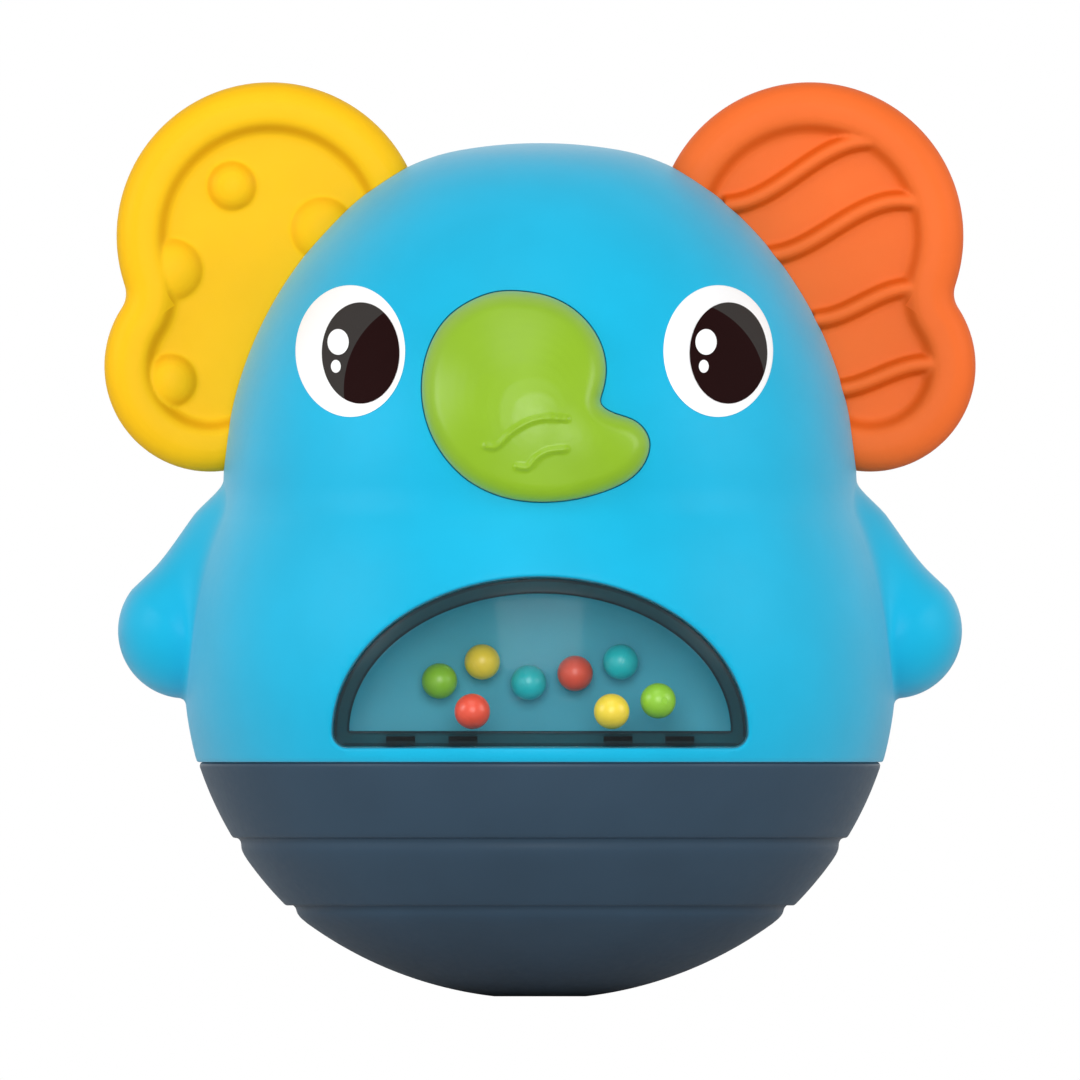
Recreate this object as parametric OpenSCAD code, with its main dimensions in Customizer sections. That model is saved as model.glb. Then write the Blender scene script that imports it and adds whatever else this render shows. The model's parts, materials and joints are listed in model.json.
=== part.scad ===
// Roly poly toy: a hollow plastic elephant with a weighted round base, two soft teether ears,
// a domed nose and a belly window with loose beads. Origin at the middle of the foot, front at -Y.

/* [Head] */
// Height of the crown above the floor
crown_z = 112; // [111:0.5:114]
// Radius of the flat crown
crown_r = 60; // [54:1:66]
// Angle over which the crown arc runs
crown_turn = 10; // [9:0.5:11]
// Radius of the brow, where the crown turns into the cheeks
brow_r = 27; // [25:0.5:29]
// Angle from the top at which the brow ends
brow_turn = 38; // [36:0.5:40]
// Radius of the cheeks
cheek_r = 50; // [48:0.5:52]
// Radius of the hollow at the neck
neck_r = 12; // [9:0.5:16]

/* [Belly] */
// Radius of the belly
belly_r = 46.75; // [46.25:0.25:47.5]
// Height of the belly's centre
belly_z = 43.3; // [42.8:0.1:43.8]
// Height of the seam between the shells and the base
seam_z = 30.6; // [30.2:0.1:31]
// Wall of the two body shells
wall = 2.2; // [1.8:0.1:2.6]

/* [Arms] */
// Radius of the round end of an arm
arm_r = 8.9; // [8:0.1:9.6]
// Distance of an arm's round end from the middle plane
arm_x = 46.5; // [45:0.5:48]
// Height of an arm's round end
arm_z = 48; // [46:0.5:50]
// Tilt of an arm from upright
arm_tilt = 42; // [38:1:46]
// Taper of an arm on each side
arm_taper = 4.5; // [3:0.5:6]

/* [Base] */
// Radius of the upper base
bowl_r = 47.1; // [42:0.1:52]
// Step in from the shells to the base at the seam
seam_step = 0.2; // [0:0.05:0.4]
// Radius of the heel on which the toy rocks
heel_r = 52; // [48:0.5:56]
// Radius of the small flat on which the toy stands
foot_r = 6; // [4:0.5:8]
// Wall of the base
bowl_wall = 2.4; // [2:0.1:2.8]
// Height of the upper groove
groove_hi_z = 19.9; // [19:0.1:21]
// Height of the lower groove
groove_lo_z = 10.9; // [10.4:0.1:11.4]
// Radius of the grooves' round bottom
groove_r = 0.9; // [0.6:0.1:1.2]
// Height of the collar that the shells close round
collar_h = 5.4; // [5:0.1:5.8]
// Thickness of the collar
collar_t = 1.6; // [1.2:0.1:1.8]

/* [Weight] */
// Radius of the cast weight
weight_r = 27; // [25:0.5:28]
// Height of the weight's flat top
weight_z = 12.5; // [11.5:0.5:13]
// Thickness of the plate that holds the weight down
cover_t = 1.8; // [1.4:0.1:2.4]
// Radius of the ring of screw posts
post_ring = 18; // [16:0.5:19]

/* [Ears] */
// Distance of the upper lobe's centre from the middle plane
ear_hi_x = 35.4; // [35:0.1:36]
// Height of the upper lobe's centre
ear_hi_z = 99.8; // [99:0.1:100.5]
// Radius of the upper lobe
ear_hi_r = 20.2; // [19.6:0.1:20.8]
// Distance of the lower lobe's centre from the middle plane
ear_lo_x = 43.3; // [43:0.1:44]
// Height of the lower lobe's centre
ear_lo_z = 82.75; // [82.25:0.25:83.25]
// Radius of the lower lobe
ear_lo_r = 13.9; // [13.4:0.1:14.4]
// Radius of the fillet between the lobes
notch_r = 3.3; // [2.5:0.1:4.5]
// Thickness of the rim
rim_t = 6.8; // [6:0.1:8]
// Width of the rim
rim_w = 5.6; // [5:0.1:6]
// Width of the slope from the rim to the floor
ramp_w = 1.6; // [1.2:0.1:2]
// Thickness of the floor inside the rim
floor_t = 3.4; // [3.2:0.1:3.8]
// Height of the dots and waves above the floor
relief_h = 1.4; // [1:0.1:1.6]
// Width of a wave
wave_w = 2.7; // [2.2:0.1:3.2]
// Thickness of the tongue that the shells clamp
tongue_t = 3; // [2.6:0.1:3.1]

/* [Nose] */
// Width of the nose
nose_w = 30; // [29:0.5:31]
// Height of the nose
nose_h = 28; // [27:0.5:29]
// Distance of the nose's centre to the side
nose_x = -0.55; // [-1:0.05:0]
// Height of the nose's centre
nose_z = 78.7; // [78:0.1:79.5]
// Height of the nose's dome above the head
nose_dome = 4.4; // [3.5:0.1:5.5]
// Radius of the nose's rounded edge
nose_edge = 2.2; // [1.8:0.1:2.6]
// Depth of the pocket that the nose sits in
pocket_d = 1.2; // [0.9:0.1:1.3]
// Radius of the pegs on the nose's back
peg_r = 2.5; // [2.3:0.1:2.8]

/* [Window] */
// Half width of the window
window_a = 27.1; // [26.5:0.1:27.3]
// Rise of the window's arch
window_b = 20.3; // [19.5:0.1:21]
// Height of the window's lower edge
window_z = 32.8; // [32.6:0.1:33]
// Radius of the window's lower corners
window_corner = 1.8; // [1.2:0.1:2.2]
// Thickness of the clear pane
pane_t = 1.8; // [1.4:0.1:2]
// Thickness of the skirt round the bead chamber
skirt_t = 1.75; // [1.4:0.05:1.9]
// Depth of the bead chamber behind the belly's front, down to the tray
chamber_d = 19.75; // [19:0.25:20.5]
// Width of the window's and tray's flange
flange_w = 1.6; // [1.2:0.1:1.8]
// Thickness of the window's flange
flange_t = 1.4; // [1.2:0.1:1.6]
// Thickness of the tray
tray_t = 1.8; // [1.4:0.1:2.4]
// Radius of a bead
bead_r = 2.34; // [2.1:0.02:2.4]

/* [Fasteners] */
// Radius of the long screws' shanks
screw_r = 1.45; // [1.3:0.05:1.6]
// Radius of the long screws' heads
screw_head_r = 2.8; // [2.5:0.1:3]
// Height of the long screws' heads
screw_head_h = 2; // [1.6:0.1:2.4]
// Length of the long screws' shanks
screw_l = 18; // [15:0.5:20]
// Radius of the short screws' shanks
pin_r = 1.1; // [1:0.05:1.2]
// Radius of the short screws' heads
pin_head_r = 2.4; // [2.2:0.1:2.6]
// Height of the short screws' heads
pin_head_h = 1.5; // [1.2:0.1:1.8]
// Length of the short screws' shanks
pin_l = 5; // [4:0.5:5.5]
// Clearance round shanks, pegs and posts
fit = 0.1; // [0.05:0.05:0.2]

/* [Hidden] */
beads = ["bead_green_1", "bead_yellow_1", "bead_red_1", "bead_teal_1",
    "bead_red_2", "bead_teal_2", "bead_yellow_2", "bead_green_2"];
$fn = 96;

// How far a cut runs past the solid that it cuts
overrun = 1;
// Running gap between the window, nose or ears and the shell beside them
gap = 0.15;
// Half width of the line cut along the seam
seam_v = 0.4;
// Thickness of a printed eye layer
ink_t = 0.12;
// A length that reaches past the toy from its middle
reach = 2 * crown_z;

// The toy's skin as a row of arcs, each tangent to the next, in radius and height
function polar(r, turn) = [r * sin(turn), r * cos(turn)];
function meet(a, ra, b, rb) =
    let (d = norm(b - a), u = (b - a) / d, t = (ra * ra - rb * rb + d * d) / (2 * d))
    a + u * t + [u[1], -u[0]] * sqrt(ra * ra - t * t);
crown_c = [0, crown_z - crown_r];
brow_c = crown_c + polar(crown_r - brow_r, crown_turn);
cheek_c = brow_c + polar(brow_r - cheek_r, brow_turn);
belly_c = [0, belly_z];
neck_c = meet(belly_c, belly_r + neck_r, cheek_c, cheek_r + neck_r);
heel_c = [0, sqrt(heel_r * heel_r - foot_r * foot_r)];

// Angles from the top at which the arcs of the skin meet, the same at every depth
function turn_of(v) = atan2(v[0], v[1]);
cheek_turn = turn_of(neck_c - cheek_c);
neck_turn = turn_of(neck_c - belly_c);
function end_of(c, r, turn) = c[1] + r * cos(turn);

// Radius of the skin that lies d inside at a height, and its depth at a place seen from the front
function arc_x(c, r, z) = c[0] + sqrt(r * r - pow(z - c[1], 2));
function skin_r(z, d) =
    z > end_of(crown_c, crown_r - d, crown_turn) ? arc_x(crown_c, crown_r - d, z) :
    z > end_of(brow_c, brow_r - d, brow_turn) ? arc_x(brow_c, brow_r - d, z) :
    z > end_of(cheek_c, cheek_r - d, cheek_turn) ? arc_x(cheek_c, cheek_r - d, z) :
    z > end_of(belly_c, belly_r - d, neck_turn) ?
        neck_c[0] - sqrt(pow(neck_r + d, 2) - pow(z - neck_c[1], 2)) :
    arc_x(belly_c, belly_r - d, z);
function skin_y(x, z, d) = -sqrt(pow(skin_r(z, d), 2) - x * x);

// Points along an arc in n steps, without its first point
function arc(c, r, from, to, n) = [for (k = [1:n]) c + polar(r, from + (to - from) * k / n)];
module skin(d, foot) {
    rotate_extrude() polygon(concat([[0, crown_z - d]],
        arc(crown_c, crown_r - d, 0, crown_turn, 3),
        arc(brow_c, brow_r - d, crown_turn, brow_turn, 6),
        arc(cheek_c, cheek_r - d, brow_turn, cheek_turn, 11),
        arc(neck_c, neck_r + d, cheek_turn + 180, neck_turn + 180, 5),
        arc(belly_c, belly_r - d, neck_turn, acos((foot - belly_z) / (belly_r - d)), 9),
        [[0, foot]]));
}

// One band of a profile, from the axis out to an arc whose centre is on the axis
module band(c, r, z0, z1) {
    intersection() {
        translate(c) circle(r);
        translate([0, z0]) square([r, z1 - z0]);
    }
}

// Everything in front of the parting plane, or behind it with side = 1
module half(side) {
    translate([-reach, side < 0 ? -reach : 0, -reach]) cube([2 * reach, reach, 2 * reach]);
}

// A shape drawn as seen from the front, extruded from depth y0 to depth y1
module front_extrude(y0, y1) {
    translate([0, y1, 0]) rotate([90, 0, 0]) linear_extrude(y1 - y0) children();
}

// A cylinder along Y at a place seen from the front
module rod(p, r, y0, y1) {
    translate([p[0], y1, p[1]]) rotate([90, 0, 0]) cylinder(y1 - y0, r, r);
}

// Arms: a round end on a cone that leans in to the shoulder and ends inside it
arm_l = 2 * arm_r;
module arms(d) {
    r = arm_r - d;
    for (side = [0, 1]) mirror([side, 0, 0]) translate([-arm_x, 0, arm_z]) rotate([0, arm_tilt, 0])
        rotate_extrude() polygon(concat([[0, -r]], arc([0, 0], r, 180, 90 - arm_taper, 9),
            [[r / cos(arm_taper) - arm_l * tan(arm_taper), arm_l], [0, arm_l]]));
}

// The closed skin of head, belly and arms that lies d inside the outer one
module toy(d, foot) {
    skin(d, foot);
    arms(d);
}

module shell_wall(side) {
    intersection() {
        difference() {
            toy(0, seam_z);
            toy(wall, seam_z - overrun);
        }
        half(side);
    }
}

// Small line round the toy where shells and base meet
seam_r = arc_x(belly_c, belly_r, seam_z);
module seam_line() {
    rotate_extrude() translate([seam_r, seam_z]) rotate(45) square(2 * seam_v * cos(45), center = true);
}

// The base's collar and the groove in the shells that its bead runs in
collar_turn = 38;
bead_rib = 1.9;
rib_h = 1.6;
collar_r = arc_x(belly_c, belly_r - wall, seam_z) - 2 * gap;
rib_z = seam_z + collar_h - 2 * rib_h;
root_r = collar_r + bowl_wall / 3;
module collar_rib(grow) {
    rotate_extrude() translate([collar_r - collar_t, rib_z - grow])
        square([collar_t + bead_rib + grow, rib_h + 2 * grow]);
}

// Screw places seen from the front: the upper pair goes through the ears' tongues
head_screw = [23.5, 90];
side_in = 13.75;
side_up = 10;
side_screw = [belly_r - side_in, belly_z + side_up];
long_screws = [[-head_screw[0], head_screw[1]], head_screw, [-side_screw[0], side_screw[1]], side_screw];
function clamped(i) = i < 2 ? tongue_t / 2 : 0;
post_wall = 1.75;
post_r = screw_r + post_wall;
well_r = screw_head_r + 3 * fit;
well_wall = 1.5;
seat_y = 8;

// Ear tongue, its locating pin and the slot that it passes through
tongue_in = 19.5;
tongue_out = 42;
tongue_lo = 81;
tongue_hi = 97;
tongue_pin = [29, 84.5];
tongue_pin_r = 1.8;

module tongue(grow) {
    translate([-tongue_out, -tongue_t / 2 - grow, tongue_lo - grow])
        cube([tongue_out - tongue_in + grow, tongue_t + 2 * grow, tongue_hi - tongue_lo + 2 * grow]);
}

module tongue_slots() {
    for (side = [0, 1]) mirror([side, 0, 0]) tongue(gap);
}

// Window outline, grown by g: a half ellipse on a straight edge with round corners
window_c = window_z + window_corner;
least_corner = 0.5;
module window_outline(g) {
    r = max(window_corner + g, least_corner);
    z = window_z - g + r;
    t0 = asin((z - window_c) / (window_b + g));
    x = (window_a + g) * cos(t0) - r;
    polygon(concat(
        [for (k = [0:36]) let (t = t0 + (180 - 2 * t0) * k / 36)
            [(window_a + g) * cos(t), window_c + (window_b + g) * sin(t)]],
        [for (t = [195:15:270]) [r * cos(t) - x, z + r * sin(t)]],
        [for (t = [270:15:345]) [r * cos(t) + x, z + r * sin(t)]]));
}

module window_ring(outer, inner) {
    difference() {
        window_outline(outer);
        window_outline(inner);
    }
}

// The tray's screws stand on ears round the window's arch
tray_y = belly_r - chamber_d;
tray_turns = [30, 70, 110, 150];
tab_r = 3.2;
tab_out = gap + flange_w + tab_r - skirt_t / 2;
tray_holes = [for (t = tray_turns)
    [(window_a + tab_out) * cos(t), window_c + (window_b + tab_out) * sin(t)]];
tray_boss_r = 2.5;

// Tongues of the tray that stand in slots of the skirt's straight side, placed by shares of its half width
clip_shares = [-0.675, -0.373, 0.378, 0.677];
clip_w = 3.8;
clip_h = 0.9;
clip_d = 3;
module clips(grow) {
    for (s = clip_shares) translate([s * window_a - clip_w / 2 - grow, -tray_y - clip_d - grow,
        window_z + (skirt_t - clip_h) / 2 - grow])
        cube([clip_w + 2 * grow, clip_d + flange_t + grow, clip_h + 2 * grow]);
}

// Nose outline as shares of its half width and half height, smoothed into a closed curve
nose_shares = [[-0.16, 1], [0.36, 0.79], [0.62, 0.28], [0.56, -0.05], [0.68, -0.145], [0.87, -0.21],
    [1, -0.45], [0.84, -0.76], [0.09, -1], [-0.63, -0.75], [-0.95, -0.26], [-1, 0.04], [-0.83, 0.67]];
nose_core_share = [0.08, -0.3];
nose_peg_shares = [[-0.5, 0.45], [0.3, -0.5]];
nose_c = [nose_x, nose_z];
function nose_place(s) = [s[0] * nose_w / 2, s[1] * nose_h / 2];
function curve(a, b, c, d, t) =
    (2 * b + (c - a) * t + (2 * a - 5 * b + 4 * c - d) * t * t + (3 * b - a - 3 * c + d) * t * t * t) / 2;
nose_points = [for (i = [0:len(nose_shares) - 1], k = [0:4])
    let (n = len(nose_shares), s = [for (j = [0:3]) nose_place(nose_shares[(i + j) % n])])
    curve(s[0], s[1], s[2], s[3], k / 5)];
// The outline moved inwards by g, and then drawn in towards the core to a share of its size
function inset(i, g) =
    let (n = len(nose_points), v = nose_points[(i + 1) % n] - nose_points[(i + n - 1) % n])
    nose_points[i] + g * [v[1], -v[0]] / norm(v);
function drawn(p, share) = nose_place(nose_core_share) * (1 - share) + p * share;
nose_pegs = [for (s = nose_peg_shares) nose_c + nose_place(s)];
peg_wall = 1.6;
peg_boss = 2.8;
function peg_seat(p) = skin_y(p[0], p[1], wall) + peg_boss;

// Ear outline, d inside the outer one: two lobes and the fillets between them, each as an arc
ear_hi = [-ear_hi_x, ear_hi_z];
ear_lo = [-ear_lo_x, ear_lo_z];
notch_in = meet(ear_lo, ear_lo_r + notch_r, ear_hi, ear_hi_r + notch_r);
notch_out = meet(ear_hi, ear_hi_r + notch_r, ear_lo, ear_lo_r + notch_r);
function ear_outline(d) = concat(
    arc(ear_hi, ear_hi_r - d, turn_of(notch_out - ear_hi), turn_of(notch_in - ear_hi), 28),
    arc(notch_in, notch_r + d, turn_of(ear_hi - notch_in), turn_of(ear_lo - notch_in), 5),
    arc(ear_lo, ear_lo_r - d, turn_of(notch_in - ear_lo), turn_of(notch_out - ear_lo) + 360, 20),
    arc(notch_out, notch_r + d, turn_of(ear_lo - notch_out), turn_of(ear_hi - notch_out), 5));

// A solid through rings of points, from the back one to the front one
module loft(rings) {
    n = len(rings[0]);
    sides = [for (k = [0:len(rings) - 2], i = [0:n - 1])
        let (a = k * n + i, b = k * n + (i + 1) % n) [[a, b, b + n], [a, b + n, a + n]]];
    polyhedron([for (r = rings, p = r) p], concat([for (s = sides, f = s) f], [[for (i = [n - 1:-1:0]) i]],
        [[for (i = [0:n - 1]) (len(rings) - 1) * n + i]]));
}

// Ear plate, lying flat, seen from the front: a rolled rim and a floor that is dished on both sides
module ear_blank() {
    h = rim_t / 2;
    dish = [[rim_w, h], [rim_w + ramp_w, floor_t / 2]];
    roll = [for (t = [-90:22.5:90]) [h - h * cos(t), h * sin(t)]];
    profile = concat([[dish[1][0], -dish[1][1]], [dish[0][0], -dish[0][1]]], roll, dish);
    loft([for (p = profile) [for (q = ear_outline(p[0])) [q[0], q[1], p[1]]]]);
}

// Dots of the yellow ear: place and radius as shares of the upper lobe's radius
dot_shares = [[-0.25, 0.325, 0.175], [0.34, 0.045, 0.227], [-0.64, -0.22, 0.22], [-0.65, -0.94, 0.19]];
module dots() {
    for (s = dot_shares) {
        r = s[2] * ear_hi_r;
        cap_r = (r * r + relief_h * relief_h) / (2 * relief_h);
        translate([s[0] * ear_hi_r - ear_hi_x, s[1] * ear_hi_r + ear_hi_z, 0]) rotate_extrude()
            band([0, floor_t / 2 + relief_h - cap_r], cap_r, 0, floor_t / 2 + relief_h);
    }
}

// Waves of the orange ear: both ends, middle height and rise as shares of the upper lobe's radius
wave_shares = [[-0.56, 0.52, 0.41, 0.21], [-0.3, 0.72, 0.05, 0.18], [0.02, 0.76, -0.44, 0.105],
    [0.14, 0.86, -0.915, 0.085]];
wave_turn = 205;
function wave_point(s, t) = [s[0] + (s[1] - s[0]) * t, s[2] - s[3] * cos(wave_turn * t)] * ear_hi_r;
function wave_side(s, t, w) =
    let (v = wave_point(s, t + 0.01) - wave_point(s, t - 0.01))
    wave_point(s, t) + w * [-v[1], v[0]] / norm(v);
module waves() {
    translate([ear_hi_x, ear_hi_z, 0]) linear_extrude(floor_t / 2 + relief_h) for (s = wave_shares)
        polygon(concat([for (t = [0:0.08:1]) wave_side(s, t, wave_w / 2)],
            [for (t = [0.96:-0.08:0]) wave_side(s, t, -wave_w / 2)]));
}

// An ear with its tongue; the relief is drawn flat in front of the middle plane
module ear(side) {
    difference() {
        union() {
            difference() {
                rotate([90, 0, 0]) {
                    mirror([side, 0, 0]) ear_blank();
                    children();
                }
                skin(-gap, seam_z);
            }
            mirror([side, 0, 0]) tongue(0);
        }
        mirror([side, 0, 0]) {
            rod([-head_screw[0], head_screw[1]], screw_r + fit, -tongue_t, tongue_t);
            rod([-tongue_pin[0], tongue_pin[1]], tongue_pin_r + fit, -tongue_t, tongue_t);
        }
    }
}

// A screw that points to -Y, with its head's seat at the origin and a cross cut in the head
slot_w = 0.7;
module screw(r, l, head_r, head_h) {
    rotate([90, 0, 0]) difference() {
        rotate_extrude() {
            polygon([[0, l], [r / 2, l], [r, l - r], [r, 0], [head_r, 0], [head_r, -head_h / 2],
                [head_r / 2, -head_h], [0, -head_h]]);
        }
        for (t = [0, 90]) rotate(t) translate([-head_r / 2, -slot_w / 2, -head_h - overrun])
            cube([head_r, slot_w, head_h / 2 + overrun]);
    }
}

module front_shell() {
    color([0.13, 0.69, 0.82]) for (side = [-1, 1])
        rod([side * tongue_pin[0], tongue_pin[1]], tongue_pin_r, -2 * tongue_t, tongue_t);
    color([0.13, 0.69, 0.82]) difference() {
        union() {
            shell_wall(-1);
            intersection() {
                union() {
                    for (i = [0:3]) rod(long_screws[i], post_r, -reach, -clamped(i));
                    for (side = [-1, 1])
                        rod([side * tongue_pin[0], tongue_pin[1]], post_r, -reach, -tongue_t / 2);
                    for (p = tray_holes) rod(p, tray_boss_r, -reach, -tray_y);
                    for (p = nose_pegs) rod(p, peg_r + peg_wall, -reach, peg_seat(p));
                    front_extrude(-reach, -tray_y - flange_t) window_ring(gap + flange_w, gap);
                }
                toy(wall / 2, seam_z);
            }
        }
        front_extrude(-reach, -tray_y) window_outline(gap);
        difference() {
            translate([nose_x, 0, nose_z]) front_extrude(-reach, 0) polygon(nose_points);
            skin(pocket_d, seam_z);
        }
        for (p = nose_pegs) rod(p, peg_r + fit, -reach, 0);
        for (i = [0:3]) rod(long_screws[i], screw_r + fit / 2, seat_y - screw_l - overrun, 0);
        for (p = tray_holes) rod(p, pin_r + fit / 2, -tray_y + tray_t - pin_l - overrun, 0);
        tongue_slots();
        collar_rib(gap);
        seam_line();
    }
}

module back_shell() {
    color([0.13, 0.69, 0.82]) difference() {
        union() {
            shell_wall(1);
            intersection() {
                union() {
                    for (i = [0:3]) rod(long_screws[i], well_r + well_wall, clamped(i), reach);
                    for (side = [-1, 1])
                        rod([side * tongue_pin[0], tongue_pin[1]], post_r, tongue_t / 2, reach);
                }
                toy(wall / 2, seam_z);
            }
        }
        for (i = [0:3]) {
            rod(long_screws[i], screw_r + fit, -overrun, seat_y + overrun);
            rod(long_screws[i], well_r, seat_y, reach);
        }
        for (side = [-1, 1]) rod([side * tongue_pin[0], tongue_pin[1]], tongue_pin_r + fit, 0, 2 * tongue_t);
        tongue_slots();
        collar_rib(gap);
        seam_line();
    }
}

// The base as a solid that lies d inside the outer surface: the heel up to the lower groove, and from there
// an arc to the seam
groove_lo = [arc_x(heel_c, heel_r, groove_lo_z), groove_lo_z];
bowl_c = meet([seam_r - seam_step, seam_z], bowl_r, groove_lo, bowl_r);
function bowl_turn(r, z) = acos((z - bowl_c[1]) / r);
module bowl_solid(d, top) {
    r = bowl_r - d;
    low = bowl_turn(r, groove_lo_z);
    rotate_extrude() {
        band(heel_c, heel_r - d, max(heel_c[1] - heel_r + d, 0), groove_lo_z);
        polygon(concat([[0, groove_lo_z], bowl_c + polar(r, low)], arc(bowl_c, r, low, bowl_turn(r, top), 8),
            [[0, top]]));
    }
}

// Screw posts for the weight stand in a ring
post_top = weight_z;
weight_post_wall = 1.7;
weight_post_r = pin_r + weight_post_wall;
module post_ring_copies() {
    for (t = [30:120:270]) rotate(t) translate([post_ring, 0, 0]) children();
}

module base_bowl() {
    color([0.23, 0.30, 0.35]) difference() {
        union() {
            difference() {
                bowl_solid(0, seam_z);
                bowl_solid(bowl_wall, seam_z + overrun);
            }
            intersection() {
                post_ring_copies() cylinder(post_top, weight_post_r, weight_post_r);
                translate([0, 0, heel_c[1]]) sphere(heel_r - bowl_wall / 2);
            }
            rotate(-collar_turn) rotate_extrude(angle = 180 + 2 * collar_turn)
                polygon([[collar_r - collar_t, seam_z - collar_h / 3], [root_r, seam_z - collar_h / 3],
                    [root_r, seam_z - collar_h / 6], [collar_r, seam_z - collar_h / 6],
                    [collar_r, seam_z + collar_h], [collar_r - collar_t, seam_z + collar_h]]);
            intersection() {
                collar_rib(0);
                rotate(-collar_turn) rotate_extrude(angle = 180 + 2 * collar_turn) square([reach, reach]);
            }
        }
        rotate_extrude() {
            translate([arc_x(bowl_c, bowl_r, groove_hi_z), groove_hi_z]) circle(groove_r);
            translate(groove_lo) circle(groove_r);
        }
        post_ring_copies() translate([0, 0, post_top - pin_l])
            cylinder(2 * pin_l, pin_r + fit / 2, pin_r + fit / 2);
        seam_line();
    }
}

module counterweight() {
    color([0.35, 0.35, 0.36]) difference() {
        rotate_extrude() intersection() {
            translate(heel_c) circle(heel_r - bowl_wall - fit);
            square([weight_r, weight_z]);
        }
        post_ring_copies() cylinder(2 * weight_z, weight_post_r + 2 * fit, weight_post_r + 2 * fit);
    }
}

cover_lap = 4;
cover_r = post_ring + weight_post_r + cover_lap;
module weight_cover() {
    color([0.75, 0.75, 0.72]) difference() {
        translate([0, 0, weight_z]) rotate_extrude()
            polygon([[0, 0], [cover_r, 0], [cover_r, cover_t / 2], [cover_r - cover_t / 2, cover_t],
                [0, cover_t]]);
        post_ring_copies() cylinder(2 * weight_z, pin_r + fit, pin_r + fit);
    }
}

module weight_screws() {
    color([0.72, 0.72, 0.74]) post_ring_copies() translate([0, 0, weight_z + cover_t]) rotate([-90, 0, 0])
        rotate([180, 0, 0]) screw(pin_r, pin_l, pin_head_r, pin_head_h);
}

module yellow_ear() {
    color([1, 0.8, 0.1]) ear(0) dots();
}

module orange_ear() {
    color([0.94, 0.45, 0.22]) ear(1) waves();
}

// Nose: a rounded edge all round, and inside it a low crown that peaks above the middle and swells at the tip
crown_shares = [[-0.15, 0.15, 1.15], [0.62, -0.42, 0.5]];
tip_share = 0.3;
inner_shares = [0.85, 0.65, 0.4, 0.15];
back_shares = [0.15, 0.5, 0.8];
function mound(p, s) =
    let (v = p - nose_place(s), q = v * v / pow(s[2] * nose_w / 2, 2)) pow(max(0, 1 - q), 2);
function crown(p) =
    (nose_dome - nose_edge) * (mound(p, crown_shares[0]) + tip_share * mound(p, crown_shares[1]));
function on_skin(p, d, up) = let (q = nose_c + p) [q[0], skin_y(q[0], q[1], d) - up, q[1]];
function nose_ring(g, share, up) = [for (i = [0:len(nose_points) - 1])
    let (p = drawn(inset(i, gap + g), share)) on_skin(p, 0, gap + up + crown(p) * up / nose_edge)];
function back_ring(share) = [for (i = [0:len(nose_points) - 1])
    on_skin(drawn(inset(i, gap), share), pocket_d - fit, 0)];
module nose_body() {
    loft(concat([for (s = back_shares) back_ring(s)], [back_ring(1)],
        [for (t = [0:22.5:90]) nose_ring(nose_edge * (1 - cos(t)), 1, nose_edge * sin(t))],
        [for (s = inner_shares) nose_ring(nose_edge, s, nose_edge)]));
}

// Wrinkles across the lower nose, as centre lines in shares of its half width and half height
wrinkle_shares = [[[-0.43, -0.46], [-0.34, -0.46], [-0.21, -0.33], [-0.06, -0.235], [0.09, -0.198],
    [0.265, -0.205]], [[-0.16, -0.65], [-0.07, -0.655], [0.01, -0.565], [0.11, -0.507], [0.255, -0.488]]];
wrinkle_w = 1.1;
wrinkle_h = 0.45;
module ribbon(points, w) {
    for (p = points) translate(p) circle(w / 2);
    for (i = [0:len(points) - 2]) {
        a = points[i];
        b = points[i + 1];
        translate(a) rotate(atan2(b[1] - a[1], b[0] - a[0])) translate([0, -w / 2]) square([norm(b - a), w]);
    }
}

module wrinkles() {
    intersection() {
        front_extrude(-reach, skin_y(nose_x, nose_z, 0)) for (line = wrinkle_shares)
            ribbon([for (s = line) nose_c + nose_place(s)], wrinkle_w);
        translate([0, -wrinkle_h, 0]) nose_body();
    }
}

module nose() {
    color([0.57, 0.77, 0.16]) difference() {
        union() {
            nose_body();
            wrinkles();
            for (p = nose_pegs) rod(p, peg_r, skin_y(p[0], p[1], 0), peg_seat(p) - fit);
        }
        for (p = nose_pegs) rod(p, pin_r + fit / 2, peg_seat(p) - pin_l, reach);
    }
}

module window() {
    color([0.35, 0.5, 0.55, 0.5]) difference() {
        union() {
            intersection() {
                difference() {
                    front_extrude(-reach, -tray_y) window_outline(0);
                    intersection() {
                        front_extrude(-reach, 0) window_outline(-skirt_t);
                        translate([0, 0, belly_z]) sphere(belly_r - pane_t);
                    }
                }
                translate([0, 0, belly_z]) sphere(belly_r);
            }
            front_extrude(-tray_y - flange_t, -tray_y) window_ring(gap + flange_w, -skirt_t);
        }
        clips(fit);
    }
}

plug_t = 1.2;
module bead_tray() {
    color([0.33, 0.54, 0.61]) difference() {
        union() {
            front_extrude(-tray_y, -tray_y + tray_t) {
                window_outline(gap + flange_w);
                for (p = tray_holes) translate(p) circle(tab_r);
            }
            front_extrude(-tray_y - plug_t, -tray_y + tray_t / 2) window_outline(-skirt_t - gap);
            clips(0);
        }
        for (p = tray_holes) rod(p, pin_r + fit, -tray_y - overrun, 0);
    }
}

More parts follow.
